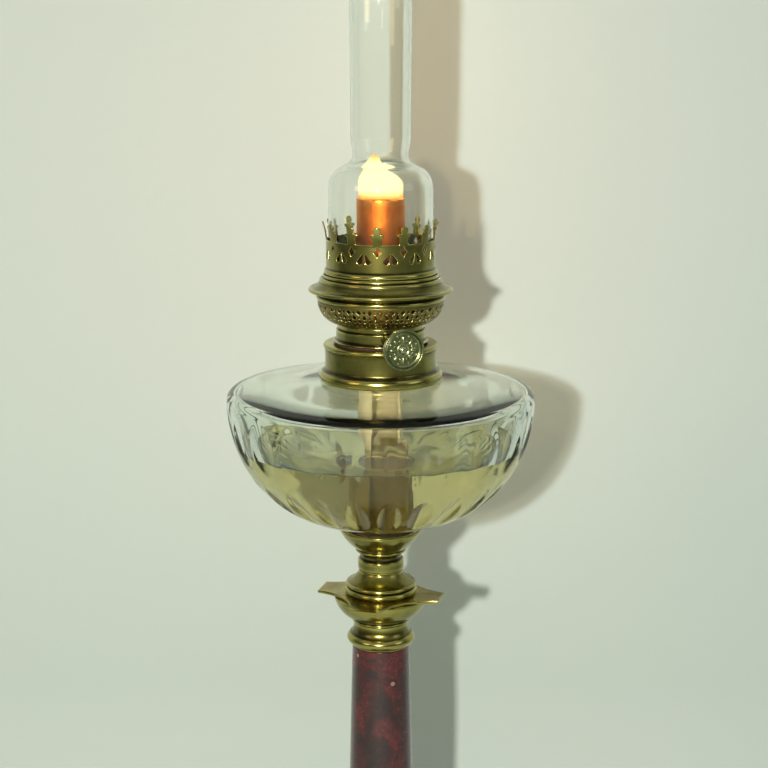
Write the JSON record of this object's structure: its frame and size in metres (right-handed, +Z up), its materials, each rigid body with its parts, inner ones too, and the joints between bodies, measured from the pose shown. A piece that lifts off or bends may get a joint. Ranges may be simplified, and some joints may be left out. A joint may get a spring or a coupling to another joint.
{
  "type": "oil table lamp",
  "caption": "Column table lamp for lamp oil: marble column on a square brass foot, cut-glass font, burner with winder knob, pierced gallery and tall glass chimney.",
  "frame": {"origin": "middle of the felt under the foot, where the lamp stands on the table", "axes": "+Z up along the column; -Y towards the front, where the winder knob is; +X to the right"},
  "size_m": [0.1542, 0.1542, 0.7072],
  "materials": {
    "brass": "aged, polished, clear to olive patina",
    "dark_brass": "pierced and aged, dark patina in the hollows",
    "marble": "polished dark red marble",
    "steel": "bright turned steel",
    "clear_glass": "clear blown and wheel-cut glass",
    "lamp_oil": "clear pale yellow-olive oil",
    "cement": "dry plaster",
    "felt": "pressed green felt",
    "gasket": "dark fibre ring",
    "cotton": "woven cotton, charred at the top"
  },
  "bodies": {
    "stand": {"base_felt": "felt", "base_foot": "brass", "plinth_block": "marble", "base_moulding": "brass", "column": "marble", "capital_ring": "brass", "capital_bowl": "brass", "abacus_plate": "brass", "capital_cap": "brass", "font_stem": "brass", "font_cup": "brass", "tie_rod": "steel", "foot_washer": "steel", "foot_nut": "steel", "cup_nut": "steel", "cup_plaster": "cement", "font": "clear_glass", "lamp_oil": "lamp_oil", "collar_plaster": "cement", "font_collar": "brass"},
    "gasket": {"gasket_ring": "gasket"},
    "burner": {"burner_base": "brass", "burner_basket": "dark_brass", "burner_flange": "brass", "air_diffuser": "dark_brass", "chimney_gallery": "brass", "wick_tube": "brass", "draught_tube": "dark_brass", "spindle_sleeve": "dark_brass"},
    "winder": {"spindle": "steel", "spur_wheels": "steel", "knob": "dark_brass", "knob_rivet": "brass"},
    "wick": {"wick": "cotton"},
    "chimney": {"chimney": "clear_glass"}
  },
  "joints": [
    {"name": "burner_rise", "type": "slide", "parent": "stand", "child": "gasket", "axis": [0, 0, 1], "range_m": [0, 0.0077]},
    {"name": "burner_unscrew", "type": "hinge", "parent": "gasket", "child": "burner", "pos_m": [0, 0, 0.4052], "axis": [0, 0, 1], "range_deg": [0, 1080]},
    {"name": "knob_turn", "type": "hinge", "parent": "burner", "child": "winder", "pos_m": [-0.00399, -0.0013, 0.4093], "axis": [0.309, -0.9511, 0], "range_deg": [-95, 70]},
    {"name": "wick_raise", "type": "slide", "parent": "burner", "child": "wick", "axis": [0, 0, 1], "range_m": [-0.006, 0.008]},
    {"name": "chimney_lift", "type": "slide", "parent": "burner", "child": "chimney", "axis": [0, 0, 1], "range_m": [0, 0.08]}
  ],
  "couplings": [
    {"joint": "burner_rise", "follows": "burner_unscrew", "m_per_rad": 0.00040425},
    {"joint": "wick_raise", "follows": "knob_turn", "m_per_rad": -0.0047243}
  ]
}
